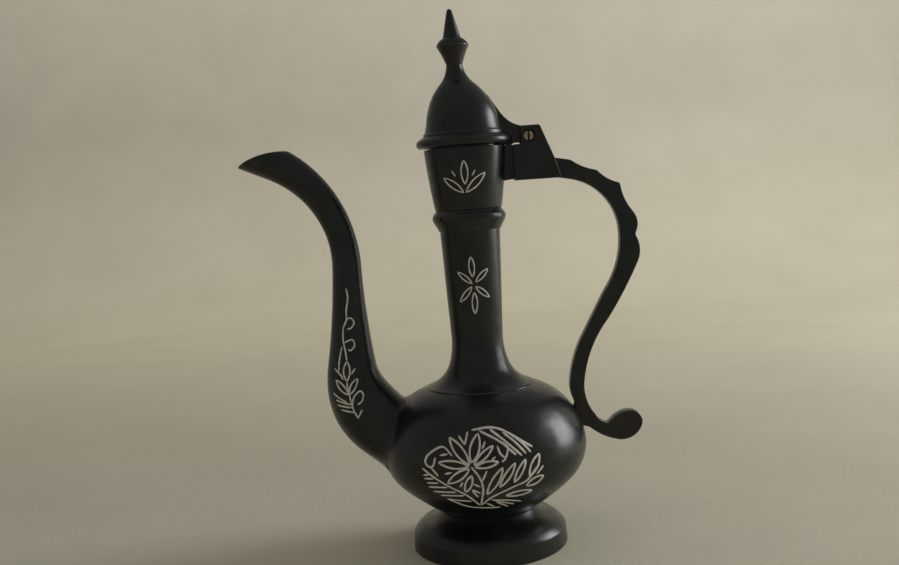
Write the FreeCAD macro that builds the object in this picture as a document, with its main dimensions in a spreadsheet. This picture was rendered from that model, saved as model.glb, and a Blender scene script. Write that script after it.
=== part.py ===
import FreeCAD, Part
import math
import os
import types

import Sketcher

# Surahi: a tall ewer of black-lacquered brass, in millimetres
# +Z is up, the foot stands on z = 0 around the Z axis, the spout points to -X, the handle to +X

os.makedirs("parts", exist_ok=True)
doc = FreeCAD.newDocument("Surahi")

SIZES = {
    # Sheet, solder and fits
    "sheet": 1.6,
    "solder_gap": 0.1,
    "pin_clearance": 0.06,
    # Foot: rim band, dome and the waist that carries the bowl
    "foot_height": 18.3,
    "foot_rim_radius": 37.1,
    "foot_band_top_radius": 36.6,
    "foot_band_height": 7.9,
    "foot_bend_radius": 28.6,
    "foot_bend_drop": 4.5,
    "foot_dome_curve": 12.4,
    "foot_throat_curve": 9.5,
    "waist_radius": 22.6,
    # Bowl: each rise is measured from the waist
    "bowl_lower_radius": 41.0,
    "bowl_lower_rise": 13.7,
    "bowl_lower_curve": 110.0,
    "belly_radius": 48.7,
    "belly_rise": 29.2,
    "belly_lower_curve": 22.8,
    "belly_upper_curve": 31.2,
    "bowl_upper_radius": 42.9,
    "bowl_upper_rise": 46.7,
    "shoulder_curve": 32.4,
    "shoulder_rise": 59.1,
    # Neck: a skirt soldered on the shoulder, a flared throat and a tube, rising from the shoulder
    "skirt_radius": 25.0,
    "skirt_edge": 0.9,
    "neck_hole_radius": 21.5,
    "throat_radius": 14.2,
    "throat_rise": 10.6,
    "throat_lower_curve": 16.3,
    "throat_upper_curve": 35.9,
    "tube_foot_radius": 12.25,
    "tube_foot_rise": 23.6,
    "tube_top_radius": 14.15,
    "neck_length": 72.2,
    "spigot_radius": 13.6,
    "spigot_length": 6.4,
    # Collar bead that sleeves the joint of neck and cup, rising from the neck's end
    "bead_foot_radius": 14.5,
    "bead_radius": 17.45,
    "bead_nose_rise": 7.7,
    "bead_lower_curve": 80.0,
    "bead_nose_curve": 3.8,
    "bead_nose_half": 1.9,
    "bead_nose_depth": 0.55,
    "bead_top_curve": 6.3,
    "bead_top_radius": 15.5,
    "bead_length": 12.4,
    # Mouth cup, rising from the bead
    "cup_foot_radius": 15.7,
    "cup_depth": 27.6,
    "cup_curve": 300.0,
    "rim_radius": 19.2,
    # Lid: brim, moulding, dome and stalk, rising from the brim's underside, and a lip in the mouth
    "rim_gap": 0.9,
    "brim_radius": 21.6,
    "brim_edge": 3.6,
    "brim_edge_curve": 2.2,
    "brim_inner_radius": 19.6,
    "brim_slope": 1.2,
    "moulding_radius": 18.4,
    "moulding_rise": 6.5,
    "dome_radius": 16.9,
    "dome_rise": 13.5,
    "dome_foot_curve": 44.0,
    "dome_curve": 31.0,
    "dome_top_radius": 7.6,
    "dome_top_rise": 29.5,
    "stalk_curve": 14.0,
    "stalk_radius": 3.7,
    "stalk_rise": 37.9,
    "lip_clearance": 0.9,
    "lip_depth": 3.6,
    # Finial: knob, spike and the tail that is fixed in the stalk, rising from the stalk's end
    "tail_radius": 1.8,
    "tail_length": 7.0,
    "knob_radius": 7.4,
    "knob_rise": 8.6,
    "knob_lower_curve": 50.0,
    "knob_top_radius": 4.2,
    "knob_top_rise": 12.2,
    "knob_top_curve": 6.2,
    "spike_top_radius": 1.2,
    "spike_top_rise": 24.7,
    "spike_curve": 364.0,
    "spike_cap": 0.9,
    # Hinge: the pin line, out from the axis and up from the rim
    "pin_across": 29.9,
    "pin_rise": 3.6,
    "pin_radius": 1.5,
    "head_radius": 2.5,
    "head_height": 1.2,
    "head_dome": 0.4,
    "recess_radius": 3.2,
    "recess_depth": 1.4,
    "driver_slot_width": 0.8,
    "driver_slot_depth": 0.6,
    "tongue_width": 5.0,
    "tongue_side_clearance": 0.15,
    "tongue_curve": 23.0,
    "barrel_radius": 4.7,
    "barrel_clearance": 0.4,
    # Bracket: a clevis block on the handle, set out from the pin line
    "bracket_width": 12.0,
    "bracket_inset": 7.5,
    "shelf_drop": 3.6,
    "ear_inset": 3.6,
    "ear_reach": 5.4,
    "ear_rise": 4.8,
    "slot_reach": 6.2,
    "bracket_reach": 11.5,
    "bracket_shoulder_drop": 10.9,
    "bracket_foot_reach": 14.1,
    "bracket_foot_drop": 20.3,
    "bracket_bevel": 1.3,
    # Handle plate, whose outline is counted in handle steps
    "handle_step": 1.0,
    "handle_thickness": 6.5,
    "handle_head_curve": 85.0,
    # Spout: a round tube, bent out of the belly and up to an oblique beak
    "spout_stand_off": 10.7,
    "spout_lean": 1.1,
    "spout_root_length": 14.0,
    "spout_knee_above_belly": 42.6,
    "spout_lower_bend": 37.2,
    "spout_lower_turn": 61.6,
    "spout_upper_bend_below_rim": 51.7,
    "spout_upper_bend": 55.4,
    "spout_upper_turn": 64.6,
    "beak_length": 16.0,
    "spout_root_radius": 16.0,
    "spout_swell_radius": 15.6,
    "spout_knee_radius": 11.4,
    "spout_stem_radius": 8.2,
    "spout_neck_radius": 6.65,
    "spout_beak_radius": 8.7,
    "spout_sheet": 1.4,
    "spout_hole_radius": 9.5,
    "spout_hole_above_belly": 10.5,
    # Oblique cut of the beak, from its tip back, measured from the stem and the rim
    "beak_tip_reach": 47.8,
    "beak_tip_drop": 2.2,
    "beak_back_reach": 23.6,
    "beak_back_rise": 4.4,
    "beak_cut_curve": 43.0,
}

sheet = doc.addObject("Spreadsheet::Sheet", "Sizes")
for row, (alias, number) in enumerate(SIZES.items(), start=1):
    sheet.set(f"A{row}", alias)
    sheet.set(f"B{row}", str(number))
    sheet.setAlias(f"B{row}", alias)
doc.recompute()


class Length:
    """A number together with the sheet formula that gives it."""

    def __init__(self, value, text):
        self.value = float(value)
        self.text = text

    def __add__(self, other):
        other = as_length(other)
        return Length(self.value + other.value, f"({self.text} + {other.text})")

    def __sub__(self, other):
        other = as_length(other)
        return Length(self.value - other.value, f"({self.text} - {other.text})")

    def __mul__(self, factor):
        return Length(self.value * factor, f"({self.text} * {factor:.6f})")

    def __neg__(self):
        return Length(-self.value, f"(0 - {self.text})")

    __radd__ = __add__
    __rmul__ = __mul__


def as_length(number):
    """A plain number as a Length, for sums with sizes."""
    return number if isinstance(number, Length) else Length(number, f"{float(number):.6f}")


S = types.SimpleNamespace(
    **{alias: Length(number, f"Sizes.{alias}") for alias, number in SIZES.items()}
)

# Heights that the pieces share, each built on the one below it
AT = types.SimpleNamespace()
AT.waist = S.foot_height
AT.foot_bend = AT.waist - S.foot_bend_drop
AT.bowl_lower = AT.waist + S.bowl_lower_rise
AT.belly = AT.waist + S.belly_rise
AT.bowl_upper = AT.waist + S.bowl_upper_rise
AT.shoulder = AT.waist + S.shoulder_rise
AT.throat = AT.shoulder + S.throat_rise
AT.tube_foot = AT.shoulder + S.tube_foot_rise
AT.neck_end = AT.shoulder + S.neck_length
AT.tube_joint = AT.neck_end + S.spigot_length
AT.bead_nose = AT.neck_end + S.bead_nose_rise
AT.bead_top = AT.neck_end + S.bead_length
AT.rim = AT.bead_top + S.cup_depth
AT.lid = AT.rim + S.rim_gap
AT.moulding = AT.lid + S.moulding_rise
AT.dome = AT.lid + S.dome_rise
AT.dome_top = AT.lid + S.dome_top_rise
AT.stalk = AT.lid + S.stalk_rise
AT.knob = AT.stalk + S.knob_rise
AT.knob_top = AT.stalk + S.knob_top_rise
AT.spike_top = AT.stalk + S.spike_top_rise
AT.tip = AT.spike_top + S.spike_cap
AT.pin = AT.rim + S.pin_rise
AT.slot_floor = AT.pin - S.barrel_radius - S.barrel_clearance
AT.handle_head = AT.pin - S.bracket_foot_drop

# Distances from the Z axis that the hinge and the spout share
OUT = types.SimpleNamespace()
OUT.bracket_inner = S.pin_across - S.bracket_inset
OUT.ear_inner = S.pin_across - S.ear_inset
OUT.ear_outer = S.pin_across + S.ear_reach
OUT.slot_back = S.pin_across + S.slot_reach
OUT.bracket_outer = S.pin_across + S.bracket_reach
OUT.bracket_foot = S.pin_across + S.bracket_foot_reach
OUT.stem = S.belly_radius + S.spout_stand_off


def corner(across, up, bulge=None, hollow=None):
    """A corner of an outline, and the curve radius of the edge that leaves it."""
    return types.SimpleNamespace(
        across=as_length(across), up=as_length(up), bulge=bulge, hollow=hollow
    )


def inset(across, up, heading, depth, bulge=None, hollow=None):
    """A corner moved by depth to the left of a heading, which is in degrees from +X."""
    turn = math.radians(heading)
    return corner(
        across - depth * math.sin(turn), up + depth * math.cos(turn), bulge, hollow
    )


def new_body(name):
    """An empty body whose label names its file."""
    body = doc.addObject("PartDesign::Body", name)
    body.Label = name
    return body


def plane_sketch(body, name, role="XZ_Plane"):
    """An empty sketch on one of the body's own origin planes."""
    plane = next(f for f in body.Origin.OriginFeatures if f.Role == role)
    sketch = body.newObject("Sketcher::SketchObject", name)
    sketch.AttachmentSupport = [(plane, "")]
    sketch.MapMode = "FlatFace"
    return sketch


def arc_between(start, end, radius, centre_left):
    """The minor arc from start to end, with its centre on the left or right of the way."""
    chord = end - start
    half = chord.Length / 2
    rise = math.sqrt(radius**2 - half**2)
    left = FreeCAD.Vector(-chord.y, chord.x, 0).normalize()
    centre = (start + end) / 2 + left * (rise if centre_left else -rise)
    first, last = (start, end) if centre_left else (end, start)
    angles = [math.atan2(p.y - centre.y, p.x - centre.x) for p in (first, last)]
    circle = Part.Circle(centre, FreeCAD.Vector(0, 0, 1), radius)
    return Part.ArcOfCircle(circle, *angles)


def bind(sketch, rules):
    """Adds (constraint, name, length) rules and ties each named one to the sheet."""
    for constraint, name, length in rules:
        index = sketch.addConstraint(constraint)
        if name:
            sketch.renameConstraint(index, name)
            sketch.setExpression(f"Constraints.{name}", length.text)


def place_rules(geometry, point, across, up, name):
    """Rules that hold a point of a sketch at a place measured from the origin."""
    rules = []
    for kind, length, axis, word in (
        ("DistanceX", across, -2, "across"),
        ("DistanceY", up, -1, "up"),
    ):
        if length.value == 0:
            rules.append((Sketcher.Constraint("PointOnObject", geometry, point, axis), None, None))
        else:
            rule = Sketcher.Constraint(kind, -1, 1, geometry, point, length.value)
            rules.append((rule, f"{name}_{word}", length))
    return rules


def outline_sketch(body, name, corners):
    """A closed sketch through corners, which run with the metal on their left."""
    sketch = plane_sketch(body, name)
    points = [FreeCAD.Vector(c.across.value, c.up.value, 0) for c in corners]
    ends = []
    for index, here in enumerate(corners):
        start, end = points[index], points[(index + 1) % len(points)]
        curve = here.bulge or here.hollow
        if curve is None:
            geometry = sketch.addGeometry(Part.LineSegment(start, end), False)
            ends.append((geometry, 1, 2))
        else:
            centre_left = here.bulge is not None
            arc = arc_between(start, end, curve.value, centre_left)
            geometry = sketch.addGeometry(arc, False)
            ends.append((geometry, 1, 2) if centre_left else (geometry, 2, 1))
    rules = []
    for index, here in enumerate(corners):
        geometry, first, last = ends[index]
        following, following_first, _ = ends[(index + 1) % len(ends)]
        joint = Sketcher.Constraint("Coincident", geometry, last, following, following_first)
        rules.append((joint, None, None))
        rules += place_rules(geometry, first, here.across, here.up, f"corner{index}")
        curve = here.bulge or here.hollow
        if curve is not None:
            rule = Sketcher.Constraint("Radius", geometry, curve.value)
            rules.append((rule, f"curve{index}", curve))
    bind(sketch, rules)
    return sketch


def circle_sketch(body, name, across, up, radius, role="XZ_Plane"):
    """A sketch of one circle."""
    sketch = plane_sketch(body, name, role)
    centre = FreeCAD.Vector(across.value, up.value, 0)
    sketch.addGeometry(Part.Circle(centre, FreeCAD.Vector(0, 0, 1), radius.value), False)
    rules = place_rules(0, 3, across, up, "centre")
    rules.append((Sketcher.Constraint("Radius", 0, radius.value), "radius", radius))
    bind(sketch, rules)
    return sketch


def cap_curve(radius, rise):
    """The curve of a shallow cap whose centre lies on the axis."""
    value = (radius.value**2 + rise.value**2) / (2 * rise.value)
    return Length(value, f"(({radius.text} ^ 2 + {rise.text} ^ 2) / (2 * {rise.text}))")


def revolve(body, name, corners):
    """Turns an outline once round the Z axis."""
    sketch = outline_sketch(body, f"{name}_outline", corners)
    feature = body.newObject("PartDesign::Revolution", name)
    feature.Profile = sketch
    feature.ReferenceAxis = (sketch, ["V_Axis"])
    feature.Angle = 360
    return feature


def pad(body, name, sketch, width):
    """Thickens a sketch evenly to both sides of its plane."""
    feature = body.newObject("PartDesign::Pad", name)
    feature.Profile = sketch
    feature.SideType = "Symmetric"
    feature.setExpression("Length", width.text)
    return feature


def pocket(body, name, sketch, width):
    """Cuts a sketch evenly to both sides of its plane."""
    feature = body.newObject("PartDesign::Pocket", name)
    feature.Profile = sketch
    feature.SideType = "Symmetric"
    feature.setExpression("Length", width.text)
    return feature


def cut_body(body, name, tool):
    """Takes another body's solid away from this one."""
    feature = body.newObject("PartDesign::Boolean", name)
    feature.Type = "Cut"
    feature.setObjects([tool])
    return feature


def edges_where(feature, test):
    """Names of a feature's edges whose two ends pass a test."""
    names = []
    for index, edge in enumerate(feature.Shape.Edges, start=1):
        if all(test(vertex.Point) for vertex in edge.Vertexes):
            names.append(f"Edge{index}")
    return names


def turned_back(corners):
    """The same corners in the other direction, with bulges as hollows."""
    back = []
    for index in range(len(corners) - 1, -1, -1):
        here = corners[index]
        edge = corners[index - 1] if index else types.SimpleNamespace(bulge=None, hollow=None)
        back.append(corner(here.across, here.up, bulge=edge.hollow, hollow=edge.bulge))
    return back


def bowl_side(depth):
    """The bowl's outline from waist to shoulder, moved inwards by depth."""
    return [
        inset(S.waist_radius, AT.waist, 20, depth, bulge=S.bowl_lower_curve - depth),
        inset(S.bowl_lower_radius, AT.bowl_lower, 43, depth, bulge=S.belly_lower_curve - depth),
        inset(S.belly_radius, AT.belly, 90, depth, bulge=S.belly_upper_curve - depth),
        inset(S.bowl_upper_radius, AT.bowl_upper, 125, depth, bulge=S.shoulder_curve - depth),
        inset(S.skirt_radius, AT.shoulder, 168, depth),
    ]


def cup_side(depth):
    """The cup's outline from its foot to the rim, moved inwards by depth."""
    return [
        inset(S.cup_foot_radius, AT.bead_top, 80, depth, bulge=S.cup_curve - depth),
        inset(S.rim_radius, AT.rim, 90, depth),
    ]


def filled_tool(name, side):
    """A solid of revolution, for trimming what is soldered to a shell."""
    body = new_body(name)
    corners = [corner(0, side[0].up)] + side + [corner(0, side[-1].up)]
    revolve(body, f"{name}_solid", corners)
    return body


def make_foot():
    """A spun foot, hollow beneath, whose waist ring carries the bowl."""
    def side(depth):
        dome = S.foot_dome_curve - depth
        throat = S.foot_throat_curve + depth
        return [
            inset(S.foot_rim_radius, as_length(0), 90, depth),
            inset(S.foot_band_top_radius, S.foot_band_height, 105, depth, bulge=dome),
            inset(S.foot_bend_radius, AT.foot_bend, 164, depth, hollow=throat),
            inset(S.waist_radius, AT.waist, 90, depth),
        ]

    body = new_body("foot")
    revolve(body, "foot_shell", side(as_length(0)) + turned_back(side(S.sheet)))
    return body


def make_bowl():
    """The closed bowl, with a land for the neck's skirt and a hole into the spout."""
    body = new_body("bowl")
    corners = [corner(0, AT.waist)]
    corners += bowl_side(as_length(0))
    corners += [corner(S.neck_hole_radius, AT.shoulder)]
    corners += [corner(S.neck_hole_radius, AT.shoulder - S.sheet)]
    corners += turned_back(bowl_side(S.sheet))
    corners += [corner(0, AT.waist + S.sheet)]
    revolve(body, "bowl_shell", corners)
    middle = AT.belly + S.spout_hole_above_belly
    hole = body.newObject("PartDesign::Pocket", "spout_hole")
    hole.Profile = circle_sketch(
        body, "spout_hole_outline", as_length(0), middle, S.spout_hole_radius, "YZ_Plane"
    )
    hole.Type = "ThroughAll"
    return body


def make_neck():
    """The neck: skirt, flared throat and tube, with a spigot under the collar."""
    body = new_body("neck")
    wall = S.sheet
    bore = S.spigot_radius - wall
    lower, upper = S.throat_lower_curve, S.throat_upper_curve
    corners = [
        corner(S.neck_hole_radius, AT.shoulder),
        corner(S.skirt_radius, AT.shoulder),
        corner(S.skirt_radius, AT.shoulder + S.skirt_edge, hollow=lower),
        corner(S.throat_radius, AT.throat, hollow=upper),
        corner(S.tube_foot_radius, AT.tube_foot),
        corner(S.tube_top_radius, AT.neck_end),
        corner(S.spigot_radius, AT.neck_end),
        corner(S.spigot_radius, AT.tube_joint),
        corner(bore, AT.tube_joint),
        corner(bore, AT.neck_end - wall),
        inset(S.tube_foot_radius, AT.tube_foot, 90, wall, bulge=upper + wall),
        inset(S.throat_radius, AT.throat, 112, wall, bulge=lower + wall),
    ]
    revolve(body, "neck_shell", corners)
    return body


def make_collar_ring():
    """A turned bead that sleeves the joint between the neck and the mouth cup."""
    body = new_body("collar_ring")
    nose = S.bead_radius - S.bead_nose_depth
    corners = [
        corner(S.spigot_radius, AT.neck_end),
        corner(S.bead_foot_radius, AT.neck_end, hollow=S.bead_lower_curve),
        corner(nose, AT.bead_nose - S.bead_nose_half, bulge=S.bead_nose_curve),
        corner(nose, AT.bead_nose + S.bead_nose_half, hollow=S.bead_top_curve),
        corner(S.bead_top_radius, AT.bead_top),
        corner(S.spigot_radius, AT.bead_top),
    ]
    revolve(body, "bead", corners)
    return body


def make_mouth_cup():
    """The flared cup: its spigot stands on the neck's inside the collar."""
    body = new_body("mouth_cup")
    bore = S.spigot_radius - S.sheet
    rim, foot = turned_back(cup_side(S.sheet))
    corners = [
        corner(bore, AT.tube_joint),
        corner(S.spigot_radius, AT.tube_joint),
        corner(S.spigot_radius, AT.bead_top),
    ]
    corners += cup_side(as_length(0))
    corners += [rim, corner(foot.across, AT.bead_top + S.sheet), corner(bore, AT.bead_top)]
    revolve(body, "cup_shell", corners)
    return body


def make_lid():
    """The hollow lid with its brim, lip, stalk and the tongue of the hinge."""
    body = new_body("lid")
    lip = S.rim_radius - S.sheet - S.lip_clearance
    edge_top = AT.lid + S.brim_edge
    crown = AT.dome_top - S.sheet
    corners = [
        corner(S.brim_radius, AT.lid, bulge=S.brim_edge_curve),
        corner(S.brim_radius, edge_top),
        corner(S.brim_inner_radius, edge_top + S.brim_slope),
        corner(S.moulding_radius, AT.moulding, hollow=S.dome_foot_curve),
        corner(S.dome_radius, AT.dome, bulge=S.dome_curve),
        corner(S.dome_top_radius, AT.dome_top, hollow=S.stalk_curve),
        corner(S.stalk_radius, AT.stalk),
        corner(S.tail_radius, AT.stalk),
        corner(S.tail_radius, crown),
        corner(S.dome_top_radius - S.sheet, crown, hollow=S.dome_curve - S.sheet),
        corner(S.dome_radius - S.sheet, AT.dome),
        corner(lip - S.sheet, AT.lid),
        corner(lip - S.sheet, AT.lid - S.lip_depth),
        corner(lip, AT.lid - S.lip_depth),
        corner(lip, AT.lid),
    ]
    revolve(body, "lid_shell", corners)

    embedded = S.sheet * 0.5
    tongue = [
        corner(S.brim_inner_radius, AT.lid),
        corner(S.pin_across, AT.lid),
        corner(S.pin_across, AT.pin + S.barrel_radius, hollow=S.tongue_curve),
        corner(S.dome_radius, AT.dome + S.sheet),
        corner(S.dome_radius - embedded, AT.dome),
        corner(S.moulding_radius - embedded, AT.moulding),
    ]
    pad(body, "tongue", outline_sketch(body, "tongue_outline", tongue), S.tongue_width)
    barrel = circle_sketch(body, "barrel_outline", S.pin_across, AT.pin, S.barrel_radius)
    pad(body, "barrel", barrel, S.tongue_width)
    running = S.pin_radius + S.pin_clearance
    bore = circle_sketch(body, "bore_outline", S.pin_across, AT.pin, running)
    pocket(body, "bore", bore, S.bracket_width)
    return body


def make_finial():
    """The knob and spike, with a tail down into the lid's stalk."""
    body = new_body("finial")
    tail = S.tail_radius - S.solder_gap * 0.5
    corners = [
        corner(0, AT.stalk - S.tail_length),
        corner(tail, AT.stalk - S.tail_length),
        corner(tail, AT.stalk),
        corner(S.stalk_radius, AT.stalk, hollow=S.knob_lower_curve),
        corner(S.knob_radius, AT.knob, bulge=S.knob_top_curve),
        corner(S.knob_top_radius, AT.knob_top, bulge=S.spike_curve),
        corner(S.spike_top_radius, AT.spike_top, bulge=cap_curve(S.spike_top_radius, S.spike_cap)),
        corner(0, AT.tip),
    ]
    revolve(body, "knob_and_spike", corners)
    return body


def curved_corners(across, up, rows):
    """Corners counted in handle steps from a place; a curve above 0 bulges, one below is hollow."""
    step = S.handle_step
    corners = []
    for steps_across, steps_up, curve in rows:
        bulge = step * curve if curve > 0 else None
        hollow = step * -curve if curve < 0 else None
        place_across, place_up = across + step * steps_across, up + step * steps_up
        corners.append(corner(place_across, place_up, bulge, hollow))
    return corners


def handle_outline():
    """The flat bar: under the comma scroll, up the scalloped back and down the inside."""
    scroll_and_back = [
        (-1.7, 6.9, 0),
        (1.9, 6.0, 28.0),
        (16.6, -1.3, 10.3),
        (27.5, 6.3, 5.7),
        (21.7, 12.6, 12.5),
        (11.3, 6.9, -8.2),
        (5.3, 11.8, -22.0),
        (0.7, 27.2, -58.0),
        (13.7, 57.3, 200.0),
    ]
    bumps_and_scallops = [
        (48.2, -61.8, 13.4),
        (47.4, -49.1, 9.2),
        (47.5, -38.9, -25.5),
        (41.7, -24.6, -19.0),
        (31.1, -17.9, -25.0),
        (19.2, -12.4, 0),
    ]
    grip_inside = [
        (18.7, -21.4, -27.0),
        (40.2, -47.2, -43.0),
        (31.7, -74.9, 0),
    ]
    root_inside = [
        (1.4, 50.4, 55.0),
        (-6.1, 26.5, 18.0),
        (-4.1, 18.1, 0),
        (-6.7, 14.5, 0),
    ]
    corners = curved_corners(S.belly_radius, AT.belly, scroll_and_back)
    corners += curved_corners(S.pin_across, AT.pin, bumps_and_scallops)
    corners += [
        corner(OUT.bracket_outer, AT.pin - S.bracket_shoulder_drop),
        corner(OUT.ear_outer, AT.slot_floor),
        corner(S.cup_foot_radius, AT.slot_floor),
        corner(S.cup_foot_radius, AT.handle_head, hollow=S.handle_head_curve),
    ]
    corners += curved_corners(S.pin_across, AT.pin, grip_inside)
    corners += curved_corners(S.belly_radius, AT.belly, root_inside)
    return corners


def make_handle():
    """The handle plate with its clevis bracket, trimmed to the cup and the bowl."""
    body = new_body("handle")
    pad(body, "plate", outline_sketch(body, "plate_outline", handle_outline()), S.handle_thickness)
    shoulder = AT.pin - S.bracket_shoulder_drop
    block = [
        corner(OUT.bracket_inner, AT.handle_head),
        corner(OUT.bracket_foot, AT.handle_head),
        corner(OUT.bracket_outer, shoulder),
        corner(OUT.ear_outer, AT.pin + S.ear_rise),
        corner(OUT.ear_inner, AT.pin + S.ear_rise),
        corner(OUT.ear_inner, AT.pin - S.shelf_drop),
        corner(OUT.bracket_inner, AT.pin - S.shelf_drop),
    ]
    bracket = pad(body, "bracket", outline_sketch(body, "bracket_outline", block), S.bracket_width)
    doc.recompute()
    side = S.bracket_width.value / 2
    bevel = body.newObject("PartDesign::Chamfer", "bracket_bevel")
    bevel.Base = (
        bracket,
        edges_where(
            bracket,
            lambda point: abs(abs(point.y) - side) < 1e-6
            and point.x > OUT.bracket_outer.value - 1e-6
            and point.z < shoulder.value + 1e-6,
        ),
    )
    bevel.setExpression("Size", S.bracket_bevel.text)

    above = AT.pin + S.ear_rise + S.sheet
    slot = [
        corner(S.cup_foot_radius, AT.slot_floor),
        corner(OUT.slot_back, AT.slot_floor),
        corner(OUT.slot_back, above),
        corner(S.cup_foot_radius, above),
    ]
    slot_width = S.tongue_width + 2 * S.tongue_side_clearance
    pocket(body, "tongue_slot", outline_sketch(body, "slot_outline", slot), slot_width)
    bore = circle_sketch(body, "pin_bore_outline", S.pin_across, AT.pin, S.pin_radius)
    pocket(body, "pin_bore", bore, S.bracket_width + S.sheet)
    recess = circle_sketch(body, "recess_outline", S.pin_across, AT.pin, S.recess_radius)
    recess.setExpression("AttachmentOffset.Base.z", f"{S.bracket_width.text} / 2")
    sunk = body.newObject("PartDesign::Pocket", "screw_recess")
    sunk.Profile = recess
    sunk.setExpression("Length", S.recess_depth.text)

    grown = -1 * S.solder_gap
    cut_body(body, "cup_trim", filled_tool("cup_tool", cup_side(grown)))
    cut_body(body, "bowl_trim", filled_tool("handle_bowl_tool", bowl_side(grown)))
    return body


def walk(place, heading, way, radius=None):
    """Place and heading after a way that is straight, or turns left round a radius."""
    if radius is None:
        return place + way * FreeCAD.Vector(math.cos(heading), math.sin(heading), 0), heading
    turned = heading + way / radius
    step = FreeCAD.Vector(
        math.sin(turned) - math.sin(heading), math.cos(heading) - math.cos(turned), 0
    )
    return place + radius * step, turned


def spout_spine():
    """The spout's centre line: its first place and heading, and its runs in order."""
    knee = FreeCAD.Vector(
        -(OUT.stem + S.spout_lean).value, (AT.belly + S.spout_knee_above_belly).value, 0
    )
    upper = FreeCAD.Vector(-OUT.stem.value, (AT.rim - S.spout_upper_bend_below_rim).value, 0)
    stem = upper - knee
    runs = [
        (S.spout_root_length.value, None),
        (S.spout_lower_bend.value * math.radians(S.spout_lower_turn.value), -S.spout_lower_bend.value),
        (stem.Length, None),
        (S.spout_upper_bend.value * math.radians(S.spout_upper_turn.value), S.spout_upper_bend.value),
        (S.beak_length.value, None),
    ]
    place, heading = walk(knee, math.atan2(stem.y, stem.x), -runs[1][0], runs[1][1])
    place, heading = walk(place, heading, -runs[0][0])
    return place, heading, runs


def spine_at(share):
    """Place and heading at a share of the spout's centre line."""
    place, heading, runs = spout_spine()
    left = share * sum(length for length, _ in runs)
    for length, radius in runs:
        place, heading = walk(place, heading, min(left, length), radius)
        left -= min(left, length)
    return place, heading


def spout_sections():
    """Share of the centre line and outer radius of each section of the tube."""
    return [
        (0.0, S.spout_root_radius),
        (0.078, S.spout_root_radius),
        (0.188, S.spout_swell_radius),
        (0.308, S.spout_knee_radius),
        (0.447, S.spout_stem_radius),
        (0.631, S.spout_neck_radius),
        (0.76, S.spout_neck_radius * 0.8 + S.spout_beak_radius * 0.2),
        (0.88, S.spout_neck_radius * 0.4 + S.spout_beak_radius * 0.6),
        (1.0, S.spout_beak_radius),
    ]


def loft_tube(body, name, kind, wall):
    """A loft through circles square to the centre line, each less a wall."""
    circles = []
    for index, (share, radius) in enumerate(spout_sections()):
        place, heading = spine_at(share)
        circle = circle_sketch(
            body, f"{name}_section{index}", as_length(0), as_length(0), radius - wall, "XY_Plane"
        )
        turn = FreeCAD.Rotation(FreeCAD.Vector(0, 1, 0), 90 - math.degrees(heading))
        circle.AttachmentOffset = FreeCAD.Placement(FreeCAD.Vector(place.x, 0, place.y), turn)
        circles.append(circle)
    feature = body.newObject(kind, name)
    feature.Profile = circles[0]
    feature.Sections = circles[1:]
    return feature


def make_spout():
    """The bent tube, bored through, cut oblique at the beak and trimmed to the bowl."""
    body = new_body("spout")
    loft_tube(body, "spout_tube", "PartDesign::AdditiveLoft", as_length(0))
    loft_tube(body, "spout_bore", "PartDesign::SubtractiveLoft", S.spout_sheet)
    beyond = S.spout_beak_radius * 2
    tip_across = -(OUT.stem + S.beak_tip_reach)
    tip_up = AT.rim - S.beak_tip_drop
    back_across = -(OUT.stem + S.beak_back_reach)
    back_up = AT.rim + S.beak_back_rise
    cut = [
        corner(tip_across, tip_up, hollow=S.beak_cut_curve),
        corner(back_across, back_up),
        corner(back_across, back_up + beyond),
        corner(tip_across - beyond, tip_up + beyond),
        corner(tip_across - beyond, tip_up - S.spout_beak_radius),
    ]
    pocket(body, "beak_cut", outline_sketch(body, "beak_cut_outline", cut), beyond + beyond)
    cut_body(body, "spout_trim", filled_tool("spout_bowl_tool", bowl_side(-1 * S.solder_gap)))
    return body


def make_hinge_screw():
    """The slotted screw that is the hinge pin; its axis is turned from Z to the front."""
    body = new_body("hinge_screw")
    rear = S.bracket_width * -0.5
    seat = S.bracket_width * 0.5 - S.recess_depth
    crown = seat + S.head_height
    corners = [
        corner(0, rear),
        corner(S.pin_radius, rear),
        corner(S.pin_radius, seat),
        corner(S.head_radius, seat),
        corner(S.head_radius, crown - S.head_dome, bulge=cap_curve(S.head_radius, S.head_dome)),
        corner(0, crown),
    ]
    revolve(body, "shank_and_head", corners)
    half = S.driver_slot_width * 0.5
    slot = [
        corner(-half, crown - S.driver_slot_depth),
        corner(half, crown - S.driver_slot_depth),
        corner(half, crown + S.head_height),
        corner(-half, crown + S.head_height),
    ]
    pocket(body, "driver_slot", outline_sketch(body, "driver_slot_outline", slot), S.head_radius * 3)
    body.Placement = FreeCAD.Placement(
        FreeCAD.Vector(S.pin_across.value, 0, AT.pin.value),
        FreeCAD.Rotation(FreeCAD.Vector(1, 0, 0), 90),
    )
    body.setExpression("Placement.Base.x", S.pin_across.text)
    body.setExpression("Placement.Base.z", AT.pin.text)
    return body


nodes = [
    make_foot(),
    make_bowl(),
    make_neck(),
    make_collar_ring(),
    make_mouth_cup(),
    make_spout(),
    make_handle(),
    make_hinge_screw(),
    make_lid(),
    make_finial(),
]
doc.recompute()

for item in doc.Objects:
    if "Invalid" in item.State or "Error" in item.State:
        raise RuntimeError(f"{item.Name} did not build: {item.State}")
for node in nodes:
    if node.Shape.isNull() or not node.Shape.isValid():
        raise RuntimeError(f"{node.Label} has no valid shape")
    node.Shape.exportStep(f"parts/{node.Label}.step")
    box = node.Shape.optimalBoundingBox(False)
    size = ", ".join(f"{length:.1f}" for length in (box.XLength, box.YLength, box.ZLength))
    print(f"{node.Label}: {len(node.Shape.Solids)} solid, {node.Shape.Volume:.0f} mm3, {size} mm")
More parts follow.
